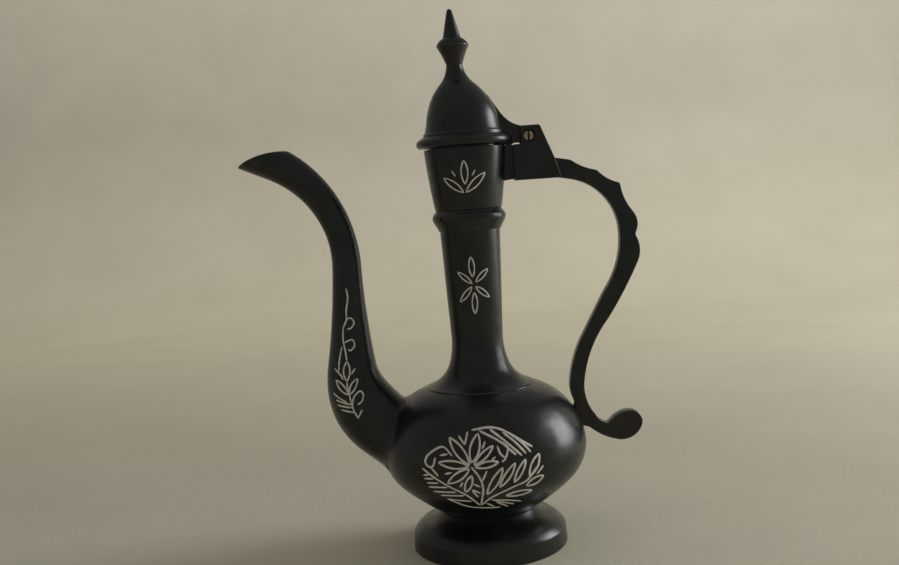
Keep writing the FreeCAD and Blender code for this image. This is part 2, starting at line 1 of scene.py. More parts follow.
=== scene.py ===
"""Surahi: a tall ewer of black-lacquered brass, with ornament cut through to the bright metal.

Shapes are in millimetres until a mesh is made; materials, lamps and camera are in metres. +Z is
up, the foot stands on z = 0 round the Z axis, the spout points to -X, the handle to +X, and the
ornament faces -Y.
"""

import math

import bpy
import numpy as np
from mathutils import Matrix, Vector


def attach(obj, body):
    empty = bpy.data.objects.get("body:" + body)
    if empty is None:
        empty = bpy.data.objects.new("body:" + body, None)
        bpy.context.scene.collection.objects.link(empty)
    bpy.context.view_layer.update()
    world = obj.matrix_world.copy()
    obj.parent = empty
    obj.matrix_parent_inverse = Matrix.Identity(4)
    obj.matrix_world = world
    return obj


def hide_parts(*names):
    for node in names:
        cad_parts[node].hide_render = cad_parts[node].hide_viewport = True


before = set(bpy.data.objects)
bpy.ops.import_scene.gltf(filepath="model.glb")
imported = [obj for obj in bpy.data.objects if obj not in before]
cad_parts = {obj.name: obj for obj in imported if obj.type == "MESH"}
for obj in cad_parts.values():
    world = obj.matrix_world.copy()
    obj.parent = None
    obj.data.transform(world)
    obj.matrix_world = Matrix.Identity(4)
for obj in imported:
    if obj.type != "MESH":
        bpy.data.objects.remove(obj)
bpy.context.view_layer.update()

MM = 0.001


# Lines and outlines


def edge_points(start, end, curve, step=0.25):
    """Points from start up to end, which is left out.

    The way is straight where curve is 0. Otherwise it is the short arc of that radius, which
    turns left where curve is above 0 and right where it is below 0.
    """
    start, end = np.array(start, float), np.array(end, float)
    chord = end - start
    length = math.hypot(*chord)
    share = np.arange(max(2, int(length / step))) / max(2, int(length / step))
    if curve == 0:
        return start + share[:, None] * chord
    left = np.array([-chord[1], chord[0]]) / length
    reach = math.sqrt(curve**2 - length**2 / 4)
    centre = (start + end) / 2 + left * math.copysign(reach, curve)
    first = math.atan2(start[1] - centre[1], start[0] - centre[0])
    turn = math.copysign(2 * math.asin(length / 2 / abs(curve)), curve)
    angle = first + turn * share
    return centre + abs(curve) * np.stack([np.cos(angle), np.sin(angle)], 1)


def open_line(rows):
    """Line through rows of (across, up, curve of the edge that leaves), with its last place."""
    edges = [edge_points(a[:2], b[:2], a[2]) for a, b in zip(rows, rows[1:])]
    return np.vstack([*edges, rows[-1][:2]])


def outline(rows):
    """Closed line through rows of (across, up, curve of the edge that leaves)."""
    return open_line(rows + rows[:1])[:-1]


def along(points):
    """Running length of a line."""
    return np.concatenate([[0], np.cumsum(np.hypot(*np.diff(points, axis=0).T))])


def resampled(points, places):
    """The points of a line at given running lengths."""
    length = along(points)
    return np.stack([np.interp(places, length, points[:, k]) for k in (0, 1)], 1)


def softened(points, reach, bend=6.0, longest=2.0, closed=True):
    """The same line with every corner rounded by about reach.

    The line is cut into short equal steps, and each point becomes the weighted mean of its
    neighbours, with bell-shaped weights of that reach. What is left is sampled finely where
    it bends and coarsely where it runs straight: one point per so many degrees or millimetres.
    """
    loop = np.vstack([points, points[:1]]) if closed else points
    total = along(loop)[-1]
    steps = 3
    count = int(total / (reach / steps))
    fine = resampled(loop, np.arange(count) * total / count if closed else np.linspace(0, total, count))
    span = 3 * steps
    weight = np.exp(-0.5 * (np.arange(-span, span + 1) / steps) ** 2)
    weight /= weight.sum()
    if closed:
        padded = np.vstack([fine[-span:], fine, fine[:span]])
    else:
        mirror = np.array([-1.0, 1.0])
        padded = np.vstack([fine[span:0:-1] * mirror, fine, fine[-2 : -span - 2 : -1] * mirror])
    fine = np.stack([np.convolve(padded[:, k], weight, "valid") for k in (0, 1)], 1)
    if closed:
        fine = np.vstack([fine, fine[:1]])
    way = np.diff(fine, axis=0)
    heading = np.unwrap(np.arctan2(way[:, 1], way[:, 0]))
    turning = np.concatenate([[0], np.abs(np.diff(heading)), [0]])
    step = np.concatenate([[0], np.hypot(*way.T)])
    measure = np.cumsum(step / longest + np.degrees(turning) / bend)
    number = int(math.ceil(measure[-1]))
    wanted = np.linspace(0, measure[-1], number + 1)
    places = np.interp(wanted, measure, np.cumsum(step))
    out = resampled(fine, places)
    return out[:-1] if closed else out


def turning_at(points, closed=True):
    """How sharply a line turns left at each point, in radians per millimetre."""
    before = np.roll(points, 1, 0)
    after = np.roll(points, -1, 0)
    a, b = points - before, after - points
    cross = a[:, 0] * b[:, 1] - a[:, 1] * b[:, 0]
    turn = np.arctan2(cross, (a * b).sum(1))
    rate = turn / np.maximum(0.5 * (np.hypot(*a.T) + np.hypot(*b.T)), 1e-6)
    if not closed:
        rate[[0, -1]] = 0
    return rate


def unit(vectors):
    """The same directions at length 1."""
    return vectors / np.linalg.norm(vectors, axis=-1, keepdims=True)


def moved_in(points, depth):
    """A closed line, run anticlockwise, moved inwards square to itself by depth."""
    way = np.roll(points, -1, 0) - np.roll(points, 1, 0)
    way /= np.maximum(np.hypot(*way.T), 1e-9)[:, None]
    return points + depth * np.stack([-way[:, 1], way[:, 0]], 1)


# Meshes


def new_object(name, places, faces, marks=None):
    """A smooth-shaded object from places in millimetres, with marks as point attributes."""
    mesh = bpy.data.meshes.new(name)
    mesh.from_pydata((places * MM).tolist(), [], faces)
    mesh.validate()
    mesh.shade_smooth()
    for key, values in (marks or {}).items():
        layer = mesh.attributes.new(key, "FLOAT", "POINT")
        layer.data.foreach_set("value", np.asarray(values, np.float32))
    thing = bpy.data.objects.new(name, mesh)
    bpy.context.scene.collection.objects.link(thing)
    return thing


def grid_faces(rows, columns, wrap_rows, wrap_columns, first=0):
    """Quads (i, j), (i, j+1), (i+1, j+1), (i+1, j) of a grid whose ends may join."""
    i = np.arange(rows if wrap_rows else rows - 1)[:, None]
    j = np.arange(columns if wrap_columns else columns - 1)[None, :]
    below, beside = (i + 1) % rows, (j + 1) % columns
    corners = (i * columns + j, i * columns + beside, below * columns + beside, below * columns + j)
    return (np.stack([np.broadcast_to(c, (i.size, j.size)) for c in corners], -1) + first).reshape(-1, 4)


def edge_wear_and_sheen(rate):
    """1 on sharp outward edges and 0 elsewhere: partly where fingers and cloth rub the black thin, partly a
    painted highlight along ridges that catch the light.
    """
    return np.clip((rate - 0.25) / 1.2, 0, 1)


def lean(up):
    """How far the hammered top of the lid leans to the spout.

    Nothing at the dome's foot, 2.1 at the stalk by the smooth step t t (3 - 2 t), and a little
    more along the spike.
    """
    t = np.clip((up - 202.0) / 26.0, 0, 1)
    return -2.1 * t * t * (3 - 2 * t) - 0.03 * np.maximum(up - 228.0, 0)


def turned(name, points, sides=192, closed=True, leaning=False):
    """A turned piece: each outline point (r, z) goes round to (r cos a, r sin a, z).

    An open outline starts and ends on the axis, where its rings shrink to one point.
    """
    angle = np.arange(sides) * 2 * math.pi / sides
    ring = np.stack([np.cos(angle), np.sin(angle)], 1)
    kept = slice(None) if closed else slice(1, -1)
    body = points[kept]
    flat = body[:, None, :1] * ring[None]
    tall = np.broadcast_to(body[:, None, 1:], (len(body), sides, 1))
    places = np.concatenate([flat, tall], 2).reshape(-1, 3)
    faces = grid_faces(len(body), sides, closed, True).tolist()
    # Sharp outward edges get the edge mark, which is partly rubbed wear and partly a painted highlight along
    # the ridge.
    wear_and_painted_light = np.repeat(edge_wear_and_sheen(turning_at(points, closed)[kept]), sides)
    if not closed:
        low, high = len(places), len(places) + 1
        places = np.vstack([places, [[0, 0, points[0, 1]], [0, 0, points[-1, 1]]]])
        wear_and_painted_light = np.append(wear_and_painted_light, [0, 0])
        j = np.arange(sides)
        beside = (j + 1) % sides
        last = (len(body) - 1) * sides
        faces += np.stack([np.full(sides, low), beside, j], 1).tolist()
        faces += np.stack([last + j, last + beside, np.full(sides, high)], 1).tolist()
    if leaning:
        places[:, 0] += lean(places[:, 2])
    return new_object(name, places, faces, {"wear_and_painted_light": wear_and_painted_light})


def plate(name, points, half, edge, hub=None):
    """A flat bar in the XZ plane, thick to both sides, with its long edges rounded off.

    Ring k of the outline is moved in by edge (1 - sin t) and back by edge (1 - cos t), with t
    from 0 to 90 degrees at the front edge and back again behind. A flat face closes it in front
    and behind, or a fan of triangles round a hub (across, up) that sees the whole outline.
    """
    t = np.radians([0, 30, 60, 90])
    inward = np.concatenate([[edge * 1.15], edge * (1 - np.sin(t))])
    back = np.concatenate([[0.0], edge * (1 - np.cos(t))])
    inward = np.concatenate([inward, inward[::-1]])
    deep = np.concatenate([-half + back, half - back[::-1]])
    rings = [moved_in(points, depth) for depth in inward]
    columns = len(points)
    places = np.stack(
        [np.column_stack([ring[:, 0], np.full(columns, y), ring[:, 1]]) for ring, y in zip(rings, deep)]
    ).reshape(-1, 3)
    # The rounded long edges get the edge mark: partly rubbed wear, partly a painted highlight where the
    # rounding catches the light.
    wear_and_painted_light = np.repeat((np.abs(inward - edge * 0.5) < edge * 0.45).astype(float), columns)
    faces = grid_faces(len(rings), columns, False, True)[:, ::-1].tolist()
    last = (len(rings) - 1) * columns
    if hub is None:
        faces.append(list(range(columns)))
        faces.append(list(range(last, last + columns))[::-1])
        return new_object(name, places, faces, {"wear_and_painted_light": wear_and_painted_light})
    j = np.arange(columns)
    beside = (j + 1) % columns
    front, rear = len(places), len(places) + 1
    places = np.vstack([places, [[hub[0], -half, hub[1]], [hub[0], half, hub[1]]]])
    faces += np.stack([np.full(columns, front), j, beside], 1).tolist()
    faces += np.stack([np.full(columns, rear), last + beside, last + j], 1).tolist()
    return new_object(name, places, faces, {"wear_and_painted_light": np.append(wear_and_painted_light, [0, 0])})


def cut(base, tool):
    """Takes a closed tool's room out of base, and takes the tool away."""
    step = base.modifiers.new("cut", "BOOLEAN")
    step.operation = "DIFFERENCE"
    step.solver = "MANIFOLD"
    step.object = tool
    bpy.context.view_layer.update()
    shaped = bpy.data.meshes.new_from_object(base.evaluated_get(bpy.context.evaluated_depsgraph_get()))
    base.modifiers.clear()
    shaped.set_sharp_from_angle(angle=math.radians(38))
    base.data = shaped
    bpy.data.objects.remove(tool)


# Turned pieces, as rows of (across, up, curve of the edge that leaves)

BOWL = [
    (22.6, 18.3, 110),
    (41.0, 32.0, 22.8),
    (48.7, 47.5, 31.2),
    (42.9, 65.0, 32.4),
    (25.0, 77.4, 0),
]


def radius_from(line):
    """A function that gives the radius at a height, read from an outline that only rises."""
    return lambda up: np.interp(up, line[:, 1], line[:, 0])


bowl_at = radius_from(open_line(BOWL))
cup_at = radius_from(open_line([(15.75, 161.2, 300), (19.2, 189.6, 0)]))


def neck_at(up):
    """Radius of the neck, which widens evenly from its throat up to the collar."""
    return 12.25 + 1.9 * (up - 101.0) / 48.6


foot = turned(
    "foot_shell",
    softened(
        outline(
            [
                (37.1, 0, 0),
                (36.6, 7.9, 12.4),
                (28.6, 13.8, -9.5),
                (22.6, 18.3, 0),
                (21.0, 18.3, 11.1),
                (28.2, 12.3, -10.8),
                (35.0, 7.5, 0),
                (35.5, 0, 0),
            ]
        ),
        0.45,
    ),
)
bowl = turned(
    "bowl_shell",
    softened(
        open_line(
            [
                (0.0, 18.3, 0),
                *BOWL,
                (21.5, 77.4, 0),
                (21.5, 75.8, -30.8),
                (41.6, 64.1, -29.6),
                (47.1, 47.5, -21.2),
                (39.9, 33.2, -108.4),
                (22.0, 19.9, 0),
                (0.0, 19.9, 0),
            ]
        ),
        0.4,
        closed=False,
    ),
    closed=False,
)
neck = turned(
    "neck_tube",
    softened(
        outline(
            [
                (25.8, 77.1, 0),
                (25.2, 77.9, -16.3),
                (14.2, 88.0, -35.9),
                (12.25, 101.0, 0),
                (14.2, 151.6, 0),
                (13.6, 151.6, 0),
                (13.6, 156.0, 0),
                (12.0, 156.0, 0),
                (12.0, 148.0, 0),
                (10.65, 101.0, 37.5),
                (12.7, 87.4, 17.9),
                (21.5, 77.4, 0),
            ]
        ),
        0.3,
    ),
    sides=160,
)
collar = turned(
    "collar_bead",
    softened(
        outline(
            [
                (13.65, 151.2, 0),
                (14.8, 151.2, 0),
                (14.9, 151.9, -60),
                (16.9, 155.6, 3.6),
                (16.9, 159.0, -5.5),
                (15.4, 161.2, 0),
                (13.65, 161.2, 0),
            ]
        ),
        0.3,
    ),
    sides=160,
)
cup = turned(
    "mouth_cup_shell",
    softened(
        outline(
            [
                (12.0, 156.0, 0),
                (13.6, 156.0, 0),
                (13.6, 161.2, 0),
                (15.75, 161.2, 300),
                (19.2, 189.6, 0),
                (17.6, 189.6, -298),
                (14.1, 163.6, 0),
                (12.0, 162.0, 0),
            ]
        ),
        0.35,
    ),
    sides=160,
)
lid = turned(
    "lid_dome",
    softened(
        outline(
            [
                (16.7, 190.5, 0),
                (21.6, 190.5, 2.2),
                (21.6, 194.1, 0),
                (19.9, 195.3, 0),
                (19.1, 195.15, 0),
                (18.9, 196.9, 0),
                (18.3, 197.2, -44),
                (16.9, 204.0, 31),
                (7.6, 220.0, -14),
                (3.8, 228.4, 0),
                (1.8, 228.4, 0),
                (1.8, 218.4, 0),
                (6.0, 218.4, -29.4),
                (15.3, 204.0, 0),
                (15.1, 190.5, 0),
                (15.1, 186.9, 0),
                (16.7, 186.9, 0),
            ]
        ),
        0.22,
    ),
    sides=160,
    leaning=True,
)
finial = turned(
    "knob_and_spike",
    softened(
        open_line(
            [
                (0.0, 221.4, 0),
                (1.75, 221.4, 0),
                (1.75, 228.4, 0),
                (3.8, 228.4, -50),
                (7.6, 237.0, 6.2),
                (4.2, 240.6, 364),
                (1.2, 253.1, 1.25),
                (0.0, 254.0, 0),
            ]
        ),
        0.25,
        closed=False,
    ),
    sides=96,
    closed=False,
    leaning=True,
)


# Spout: a round tube along a bent centre line


def spout_line():
    """Running length, place and heading of the spout's centre line.

    The heading is steady on straight runs and turns evenly on the two bends, and the place is
    the running sum of steps along the heading.
    """
    knee, shoulder = np.array([-60.5, 90.1]), np.array([-59.4, 137.9])
    stem = shoulder - knee
    upright = math.atan2(stem[1], stem[0])
    lower, upper = 37.2, 55.4
    first_turn, last_turn = math.radians(61.6), math.radians(64.6)
    ends = np.cumsum([14.0, lower * first_turn, math.hypot(*stem), upper * last_turn, 40.0])
    pace = 0.1
    length = np.arange(0, ends[-1], pace)
    heading = np.interp(
        length,
        [0, *ends],
        [upright + first_turn] * 2 + [upright] * 2 + [upright + last_turn] * 2,
    )
    step = pace * np.stack([np.cos(heading), np.sin(heading)], 1)
    place = np.vstack([[0, 0], np.cumsum(step, 0)[:-1]])
    at_knee = np.argmin(np.abs(length - ends[1]))
    place += knee - place[at_knee]
    return length, place, heading


SPOUT_LENGTH, SPOUT_PLACE, SPOUT_HEADING = spout_line()
# Running length and outer radius at stations along the spout
SPOUT_STATIONS = np.array(
    [
        (0, 16.0),
        (14, 16.0),
        (34, 15.6),
        (55.5, 11.4),
        (80.6, 8.2),
        (113.8, 6.65),
        (137, 7.06),
        (158.7, 7.9),
        (180.3, 8.7),
        (221, 8.9),
    ]
)
SPOUT_WALL = 1.4
BEAK_CUT = 43.0
ROOT_SPAN = (15, 60)
MOUTH_SPAN = (150, 215)


def spout_radius(length):
    """Outer radius along the spout: a cubic through the stations with the slopes of their neighbours."""
    at, size = SPOUT_STATIONS.T
    slope = np.gradient(size, at)
    slope[:2] = 0
    k = np.clip(np.searchsorted(at, length, side="right") - 1, 0, len(at) - 2)
    span = at[k + 1] - at[k]
    t = (length - at[k]) / span
    return (
        (1 + 2 * t) * (1 - t) ** 2 * size[k]
        + t * (1 - t) ** 2 * span * slope[k]
        + t**2 * (3 - 2 * t) * size[k + 1]
        - t**2 * (1 - t) * span * slope[k + 1]
    )


def on_spout(length, angle, radius):
    """Place on the tube: angle 0 is the upper or inner side and 90 degrees the front."""
    x = np.interp(length, SPOUT_LENGTH, SPOUT_PLACE[:, 0])
    z = np.interp(length, SPOUT_LENGTH, SPOUT_PLACE[:, 1])
    heading = np.interp(length, SPOUT_LENGTH, SPOUT_HEADING)
    side = radius * np.cos(angle)
    return np.stack([x + side * np.sin(heading), -radius * np.sin(angle), z - side * np.cos(heading)], -1)


def crossing(span, angle, wall, outside):
    """The length within span at which the tube's surface crosses a border, by halving 40 times."""
    low, high = (np.full(angle.shape, end, float) for end in span)
    for _ in range(40):
        middle = (low + high) / 2
        beyond = outside(on_spout(middle, angle, spout_radius(middle) - wall))
        high = np.where(beyond, middle, high)
        low = np.where(beyond, low, middle)
    return (low + high) / 2


def outside_bowl(place):
    """True outside the bowl: farther from the axis than its wall at that height."""
    return np.hypot(place[..., 0], place[..., 1]) > bowl_at(place[..., 2]) - 0.3


def beak_centre():
    """Centre of the round cut that slants across the beak from its tip to its back."""
    tip, back = np.array([-107.2, 187.4]), np.array([-83.0, 194.0])
    chord = back - tip
    length = math.hypot(*chord)
    right = np.array([chord[1], -chord[0]]) / length
    return (tip + back) / 2 + right * math.sqrt(BEAK_CUT**2 - length**2 / 4)


BEAK_CENTRE = beak_centre()


def beyond_beak(place):
    """True above the beak's round cut."""
    return np.hypot(place[..., 0] - BEAK_CENTRE[0], place[..., 2] - BEAK_CENTRE[1]) > BEAK_CUT


def solder_fillet(root, angle, reach, rows=10):
    """A hollow band between spout and bowl.

    Each line is a cubic curve, (1-t)^3 A + 3t(1-t)^2 B + 3t^2(1-t) C + t^3 D. It leaves the
    tube (A) at reach from the seam along the tube's own line (towards B), and lands on the bowl
    (D) at reach to its side, level with the bowl (from C). Three more rings run on under the
    bowl's surface.
    """
    seam = on_spout(root, angle, spout_radius(root))
    tube = on_spout(root + reach, angle, spout_radius(root + reach))
    slope = (bowl_at(seam[:, 2] + 0.2) - bowl_at(seam[:, 2] - 0.2)) / 0.4
    flat = seam[:, :2] / np.hypot(seam[:, 0], seam[:, 1])[:, None]
    out = unit(np.column_stack([flat, -slope]))
    side = unit(seam - on_spout(root, angle, 0 * angle))
    way = unit(side - (side * out).sum(1, keepdims=True) * out)

    def on_bowl(beyond, deep):
        """The ring that lies so far beyond reach and so deep under the bowl's surface."""
        ring = seam + (reach + beyond) * way
        ring[:, :2] *= ((bowl_at(ring[:, 2]) - deep) / np.hypot(ring[:, 0], ring[:, 1]))[:, None]
        return ring

    hidden = [on_bowl(2.6, 0.4), on_bowl(1.6, 0.06), on_bowl(0.8, 0.03)]
    landing = on_bowl(0, 0)
    down = unit(tube - on_spout(root + reach + 1, angle, spout_radius(root + reach + 1)))
    back = unit(landing - hidden[2])
    t = np.linspace(1, 0, rows, endpoint=False)[:, None, None]
    near_tube = (1 - t) ** 3 * tube + 3 * t * (1 - t) ** 2 * (tube + 0.55 * reach * down)
    near_bowl = t**3 * landing + 3 * t**2 * (1 - t) * (landing + 0.55 * reach * back)
    return np.concatenate([hidden, near_tube + near_bowl])


def make_spout(sides=96, rows=150, reach=5.5):
    """The spout: outside up from the bowl, over a rounded lip, and inside back down."""
    angle = np.arange(sides) * 2 * math.pi / sides
    share = np.linspace(0, 1, rows)[:, None]
    soft = 0.5
    root = crossing(ROOT_SPAN, angle, 0, outside_bowl)
    mouth = crossing(MOUTH_SPAN, angle, 0, beyond_beak) - soft
    run = root + reach + share * (mouth - root - reach)
    fillet = solder_fillet(root, angle, reach)
    outer = on_spout(run, angle, spout_radius(run))
    t = np.radians(np.arange(20, 180, 20))[:, None]
    depth = SPOUT_WALL * (1 - np.cos(t)) / 2
    ends = np.stack([crossing(MOUTH_SPAN, angle, d, beyond_beak) for d in depth[:, 0]])
    rim_run = ends - soft * (1 - np.sin(t))
    rim = on_spout(rim_run, angle, spout_radius(rim_run) - depth)
    root_in = crossing(ROOT_SPAN, angle, SPOUT_WALL, outside_bowl)
    mouth_in = crossing(MOUTH_SPAN, angle, SPOUT_WALL, beyond_beak) - soft
    back = mouth_in + share[::3] * (root_in - mouth_in)
    inner = on_spout(back, angle, spout_radius(back) - SPOUT_WALL)
    places = np.concatenate([fillet, outer, rim, inner])
    wear_and_painted_light = np.zeros(places.shape[:2])
    lip = len(fillet) + rows
    # The rounded lip gets the edge mark at 0.7: partly rubbed wear, partly a painted highlight along the lip.
    wear_and_painted_light[lip - 1 : lip + len(rim)] = 0.7
    faces = grid_faces(len(places), sides, True, True)[:, ::-1]
    return new_object("spout_tube", places.reshape(-1, 3), faces.tolist(), {"wear_and_painted_light": wear_and_painted_light.ravel()})


spout = make_spout()


# Handle with its clevis bracket, the lid's tongue in it and the screw through both

PIN = (29.9, 193.2)
HANDLE = [
    (47.0, 54.4, 0),
    (50.6, 53.5, 28.0),
    (65.3, 46.2, 10.3),
    (76.2, 53.8, 5.7),
    (70.4, 60.1, 12.5),
    (60.0, 54.4, -8.2),
    (54.0, 59.3, -22.0),
    (49.4, 74.7, -58.0),
    (62.4, 104.8, 200.0),
    (78.1, 131.4, 13.4),
    (77.3, 144.1, 9.2),
    (77.4, 154.3, -25.5),
    (71.6, 168.6, -19.0),
    (61.0, 175.3, -25.0),
    (49.1, 180.8, 0),
    (41.4, 182.3, 0),
    (35.3, 188.1, 0),
    (23.0, 188.1, 0),
    (23.0, 189.6, 0),
    (18.4, 189.6, 0),
    (16.4, 172.9, -85.0),
    (48.6, 171.8, -27.0),
    (70.1, 146.0, -43.0),
    (61.6, 118.3, 0),
    (50.1, 97.9, 55.0),
    (42.6, 74.0, 18.0),
    (44.6, 65.6, 0),
    (43.6, 62.0, 0),
]
BRACKET = [
    (22.4, 172.9, 0),
    (44.0, 172.9, 0),
    (41.4, 182.3, 0),
    (35.3, 198.0, 0),
    (26.3, 198.0, 0),
    (26.3, 189.6, 0),
    (22.4, 189.6, 0),
]
TONGUE = [
    (17.0, 189.75, 0),
    (22.6, 189.75, 0),
    (22.9, 190.5, 0),
    (26.05, 190.5, 4.7),
    (34.6, 193.2, 4.7),
    (29.9, 197.9, -14.0),
    (21.4, 200.8, -20.0),
    (17.2, 205.6, 0),
    (12.6, 213.0, 0),
    (9.6, 215.6, 0),
    (8.6, 212.0, 0),
    (14.5, 204.0, 0),
    (15.5, 197.0, 0),
]


def box_tool(low, high):
    """A closed box between two corners, for cutting."""
    places = np.array([[(low, high)[(n >> k) & 1][k] for k in (0, 1, 2)] for n in range(8)], float)
    faces = [(0, 2, 3, 1), (4, 5, 7, 6), (0, 1, 5, 4), (2, 6, 7, 3), (0, 4, 6, 2), (1, 3, 7, 5)]
    return new_object("slot_tool", places, faces)


def drum_tool(across, up, radius, front, back, sides=64):
    """A closed drum whose axis runs along Y, for cutting."""
    angle = np.arange(sides) * 2 * math.pi / sides
    ring = np.stack([across + radius * np.cos(angle), up + radius * np.sin(angle)], 1)
    places = np.vstack([np.column_stack([ring[:, 0], np.full(sides, y), ring[:, 1]]) for y in (front, back)])
    faces = grid_faces(2, sides, False, True)[:, ::-1].tolist()
    faces += [list(range(sides)), list(range(sides, 2 * sides))[::-1]]
    return new_object("recess_tool", places, faces)


handle = plate("handle_bar", softened(outline(HANDLE), 0.75, longest=1.6), 3.25, 0.5)
bracket = plate("hinge_bracket", softened(outline(BRACKET), 0.5, bend=9), 6.0, 0.3, (30.0, 184.0))
cut(bracket, box_tool((10, -2.65, 188.1), (36.1, 2.65, 204)))
cut(bracket, drum_tool(*PIN, 3.1, -8, -4.6))
tongue = plate("lid_tongue", softened(outline(TONGUE), 0.5, bend=8), 2.5, 0.35)


def make_screw(sides=128):
    """The hinge screw: a turned head and shank whose axis runs to the front.

    The head is a shallow cap, and its slot is 0.6 deep wherever the way across is under 0.4.
    """
    cap = np.linspace(0, 1, 60)[1:]
    head, shank = 2.5, 1.5
    rows = [(head * share, 1.2 - 0.4 * share**2) for share in cap]
    rows += [(head, 0.0), (shank, 0.0), (shank, -10.55), (1.2, -10.75)]
    rows = np.array(rows)
    angle = np.arange(sides) * 2 * math.pi / sides
    across = rows[:, :1] * np.cos(angle)
    up = rows[:, :1] * np.sin(angle)
    out = np.broadcast_to(rows[:, 1:], across.shape).copy()
    slot = 0.6 * (1 - np.clip((np.abs(across) - 0.36) / 0.08, 0, 1))
    out[: len(cap)] = np.where(out[: len(cap)] > 0.3, out[: len(cap)] - slot[: len(cap)], out[: len(cap)])
    places = np.stack([PIN[0] + across, -4.6 - out, PIN[1] + up], -1).reshape(-1, 3)
    places = np.vstack([places, [[PIN[0], -5.2, PIN[1]], [PIN[0], 6.2, PIN[1]]]])
    faces = grid_faces(len(rows), sides, False, True)[:, ::-1].tolist()
    j = np.arange(sides)
    beside = (j + 1) % sides
    last = (len(rows) - 1) * sides
    faces += np.stack([np.full(sides, len(places) - 2), j, beside], 1).tolist()
    faces += np.stack([last + beside, last + j, np.full(sides, len(places) - 1)], 1).tolist()
    # The mark is 1 round the rim of the head and in its slot: it paints the shade in the slot and the shadow
    # of the recess round the head.
    wear_and_painted_light = (rows[:, :1] > 2.2) | ((np.abs(across) < 0.42) & (rows[:, :1] < 2.6))
    wear_and_painted_light = wear_and_painted_light.astype(float).ravel()
    return new_object("hinge_screw_head", places, faces, {"wear_and_painted_light": np.append(wear_and_painted_light, [1, 1])})


screw = make_screw()


# Cut ornament: thin bright threads that lie on the surface


def through(*points):
    """A smooth line through points: each stretch is the cubic with its neighbours' slopes."""
    p = np.array(points, float)
    if len(p) == 2:
        t = np.linspace(0, 1, max(8, int(math.hypot(*(p[1] - p[0])) / 0.35)))[:, None]
        return p[0] + t * (p[1] - p[0])
    p = np.vstack([2 * p[0] - p[1], p, 2 * p[-1] - p[-2]])
    t = np.linspace(0, 1, 12, endpoint=False)[None, :, None]
    a, b, c, d = (p[k : len(p) - 3 + k, None, :] for k in range(4))
    line = 0.5 * (2 * b + (c - a) * t + (2 * a - 5 * b + 4 * c - d) * t**2 + (3 * b - a - 3 * c + d) * t**3)
    return np.vstack([line.reshape(-1, 2), p[-2]])


def leaf(base, tip, width, left=1.0, right=1.0):
    """Two lines from base to tip, bowed out to both sides by width, times 4 t (1 - t)."""
    base, tip = np.array(base, float), np.array(tip, float)
    way = tip - base
    square = np.array([-way[1], way[0]]) / math.hypot(*way)
    t = np.linspace(0, 1, 24)[:, None]
    bow = 4 * t * (1 - t) * width
    return [base + way * t + square * bow * left, base + way * t - square * bow * right]


def threads(name, lines, lay, width, height=0.08):
    """One object of many threads.

    Each thread is a flat oval ring of six points carried along its line. Its width swells
    quickly from a point at either end and wavers a little, as a graver cuts.
    """
    places, faces, first = [], [], 0
    oval = np.radians(np.arange(6) * 60)
    for number, line in enumerate(lines):
        n = len(line)
        way = np.gradient(line, axis=0)
        way /= np.maximum(np.hypot(*way.T), 1e-9)[:, None]
        square = np.stack([-way[:, 1], way[:, 0]], 1)
        t = np.linspace(0, 1, n)
        swell = np.clip(np.minimum(t, 1 - t) * along(line)[-1] / 0.9, 0.12, 1) ** 0.6
        swell *= 1 + 0.1 * np.sin(9 * t + number) + 0.05 * np.sin(31 * t + 2 * number)
        half = 0.5 * width * swell
        flat = line[:, None, :] + square[:, None, :] * (half[:, None] * np.cos(oval))[..., None]
        spot, out = lay(flat[..., 0], flat[..., 1])
        ring = spot + out * (height * swell[:, None] * np.sin(oval))[..., None]
        places.append(ring.reshape(-1, 3))
        faces += grid_faces(n, 6, False, True, first).tolist()
        faces.append([first + k for k in range(5, -1, -1)])
        faces.append([first + (n - 1) * 6 + k for k in range(6)])
        first += n * 6
    return new_object(name, np.vstack(places), faces)


def lay_on_turned(radius_at):
    """Lays (x, z) straight back onto the front of a turned surface."""

    def lay(x, z):
        r = radius_at(z)
        y = -np.sqrt(np.maximum(r**2 - x**2, 0))
        slope = (radius_at(z + 0.2) - radius_at(z - 0.2)) / 0.4
        return np.stack([x, y, z], -1), unit(np.stack([x, y, -r * slope], -1))

    return lay


def lay_on_spout(across, length):
    """Lays (across, length along the spout) onto the spout's front."""
    radius = spout_radius(length)
    angle = np.arccos(np.clip(across / radius, -1, 1))
    spot = on_spout(length, angle, radius)
    return spot, unit(spot - on_spout(length, angle, 0 * radius))


